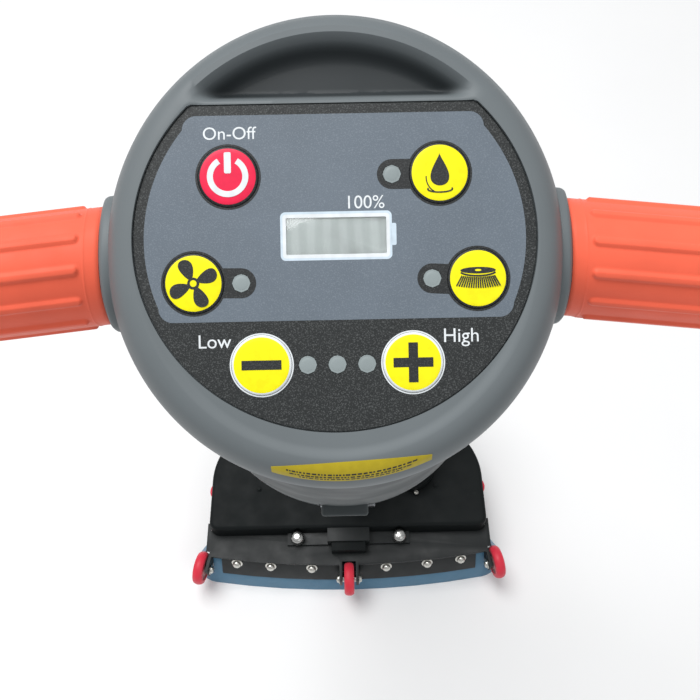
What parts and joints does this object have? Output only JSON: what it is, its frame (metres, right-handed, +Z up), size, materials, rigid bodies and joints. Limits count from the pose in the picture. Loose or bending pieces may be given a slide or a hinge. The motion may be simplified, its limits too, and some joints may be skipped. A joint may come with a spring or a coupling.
{
  "type": "floor scrubber dryer",
  "caption": "Compact walk-behind floor scrubber dryer with a round control head, two side grips, a leaning column tank and a curved squeegee.",
  "frame": {"origin": "on the floor under the middle of the machine's box", "axes": "+Z up, +Y the way the machine drives, so the operator stands on the -Y side; +X to the operator's right"},
  "size_m": [0.488, 0.4686, 1.0658],
  "materials": {
    "shell_grey": "fine moulded texture, satin",
    "panel_print": "printed film with a fine speckle",
    "key_red": "satin film",
    "key_yellow": "satin film",
    "light_lens": "frosted",
    "window_clear": "clear",
    "display_grey": "satin",
    "board_green": "solder mask",
    "grip_coral": "matt soft-touch",
    "tube_alloy": "drawn",
    "mast_black": "powder coated",
    "cast_alloy": "sand cast and painted",
    "pin_steel": "turned",
    "body_black": "moulded texture",
    "bumper_rubber": "matt",
    "motor_metal": "painted",
    "bristle_nylon": "bundled filament",
    "blade_blue": "matt",
    "wheel_red": "satin",
    "cap_blue": "satin"
  },
  "bodies": {
    "base": {"deck_housing": "body_black", "front_bumper": "bumper_rubber", "brush_motor_left": "motor_metal", "brush_motor_right": "motor_metal", "pivot_bracket": "cast_alloy", "roll_pin": "pin_steel", "battery_pack": "body_black", "recovery_tank": "body_black", "vacuum_motor": "body_black", "suction_duct": "body_black", "suction_hose": "bumper_rubber", "squeegee_hanger": "body_black", "squeegee_frame": "body_black", "rear_strap_left": "body_black", "rear_strap_right": "body_black", "rear_blade": "blade_blue", "front_blade": "blade_blue", "axle_left": "pin_steel", "axle_center": "pin_steel", "axle_right": "pin_steel"},
    "swivel": {"swivel_block": "cast_alloy", "tilt_pin": "pin_steel"},
    "column": {"mast_fork": "cast_alloy", "mast_tube": "mast_black", "tank_base": "shell_grey", "solution_tank": "shell_grey", "head_lower_shell": "shell_grey", "head_upper_shell": "shell_grey", "panel_overlay": "panel_print", "display_window": "window_clear", "display_module": "display_grey", "circuit_board": "board_green", "light_guide": "light_lens", "handlebar_tube": "tube_alloy", "collar_left": "shell_grey", "collar_right": "shell_grey", "grip_left": "grip_coral", "grip_right": "grip_coral"},
    "filler_cap": {"filler_cap": "cap_blue"},
    "tank_latch": {"tank_latch": "shell_grey"},
    "recovery_lid": {"recovery_lid": "body_black"},
    "brush_left": {"drive_hub_left": "body_black", "brush_block_left": "body_black", "bristles_left": "bristle_nylon"},
    "side_roller_left": {"side_roller_left": "wheel_red"},
    "knob_left": {"knob_left": "pin_steel"},
    "brush_right": {"drive_hub_right": "body_black", "brush_block_right": "body_black", "bristles_right": "bristle_nylon"},
    "side_roller_right": {"side_roller_right": "wheel_red"},
    "knob_right": {"knob_right": "pin_steel"},
    "wheel_left": {"squeegee_wheel_left": "wheel_red"},
    "wheel_center": {"squeegee_wheel_center": "wheel_red"},
    "wheel_right": {"squeegee_wheel_right": "wheel_red"},
    "key_power": {"key_power": "key_red"},
    "key_water": {"key_water": "key_yellow"},
    "key_fan": {"key_fan": "key_yellow"},
    "key_brush": {"key_brush": "key_yellow"},
    "key_minus": {"key_minus": "key_yellow"},
    "key_plus": {"key_plus": "key_yellow"}
  },
  "joints": [
    {"name": "column_roll", "type": "hinge", "parent": "base", "child": "swivel", "pos_m": [0, 0.10825, 0.13], "axis": [0, 1, 0], "range_deg": [-30, 30]},
    {"name": "column_tilt", "type": "hinge", "parent": "swivel", "child": "column", "pos_m": [0, 0.10061, 0.175], "axis": [1, 0, 0], "range_deg": [-17, 45]},
    {"name": "brush_spin_left", "type": "hinge", "parent": "base", "child": "brush_left", "pos_m": [-0.109, 0.10025, 0], "axis": [0, 0, 1], "continuous": true},
    {"name": "side_roller_spin_left", "type": "hinge", "parent": "base", "child": "side_roller_left", "pos_m": [-0.203, 0.08925, 0.062], "axis": [0, 0, 1], "continuous": true},
    {"name": "knob_turn_left", "type": "hinge", "parent": "base", "child": "knob_left", "pos_m": [-0.078, 0.00925, 0.08], "axis": [0, 0, 1], "continuous": true},
    {"name": "brush_spin_right", "type": "hinge", "parent": "base", "child": "brush_right", "pos_m": [0.109, 0.10025, 0], "axis": [0, 0, 1], "continuous": true},
    {"name": "side_roller_spin_right", "type": "hinge", "parent": "base", "child": "side_roller_right", "pos_m": [0.203, 0.08925, 0.062], "axis": [0, 0, 1], "continuous": true},
    {"name": "knob_turn_right", "type": "hinge", "parent": "base", "child": "knob_right", "pos_m": [0.078, 0.00925, 0.08], "axis": [0, 0, 1], "continuous": true},
    {"name": "wheel_spin_left", "type": "hinge", "parent": "base", "child": "wheel_left", "pos_m": [-0.228, -0.02575, 0.05], "axis": [0.9816, -0.1908, 0], "continuous": true},
    {"name": "wheel_spin_center", "type": "hinge", "parent": "base", "child": "wheel_center", "pos_m": [0, -0.04675, 0.05], "axis": [1, 0, 0], "continuous": true},
    {"name": "wheel_spin_right", "type": "hinge", "parent": "base", "child": "wheel_right", "pos_m": [0.228, -0.02575, 0.05], "axis": [0.9816, 0.1908, 0], "continuous": true},
    {"name": "recovery_lid_hinge", "type": "hinge", "parent": "base", "child": "recovery_lid", "pos_m": [0, 0.23485, 0.3352], "axis": [-1, 0, 0], "range_deg": [0, 100]},
    {"name": "filler_cap_hinge", "type": "hinge", "parent": "column", "child": "filler_cap", "pos_m": [0, -0.01692, 0.93298], "axis": [1, 0, 0], "range_deg": [0, 110]},
    {"name": "tank_latch_press", "type": "slide", "parent": "column", "child": "tank_latch", "axis": [0, 0.9563, 0.2924], "range_m": [0, 0.003], "stiffness_N_per_m": 700},
    {"name": "key_power_press", "type": "slide", "parent": "column", "child": "key_power", "axis": [0, 0.5, -0.866], "range_m": [0, 0.001], "stiffness_N_per_m": 900},
    {"name": "key_water_press", "type": "slide", "parent": "column", "child": "key_water", "axis": [0, 0.5, -0.866], "range_m": [0, 0.001], "stiffness_N_per_m": 900},
    {"name": "key_fan_press", "type": "slide", "parent": "column", "child": "key_fan", "axis": [0, 0.5, -0.866], "range_m": [0, 0.001], "stiffness_N_per_m": 900},
    {"name": "key_brush_press", "type": "slide", "parent": "column", "child": "key_brush", "axis": [0, 0.5, -0.866], "range_m": [0, 0.001], "stiffness_N_per_m": 900},
    {"name": "key_minus_press", "type": "slide", "parent": "column", "child": "key_minus", "axis": [0, 0.5, -0.866], "range_m": [0, 0.001], "stiffness_N_per_m": 900},
    {"name": "key_plus_press", "type": "slide", "parent": "column", "child": "key_plus", "axis": [0, 0.5, -0.866], "range_m": [0, 0.001], "stiffness_N_per_m": 900}
  ]
}
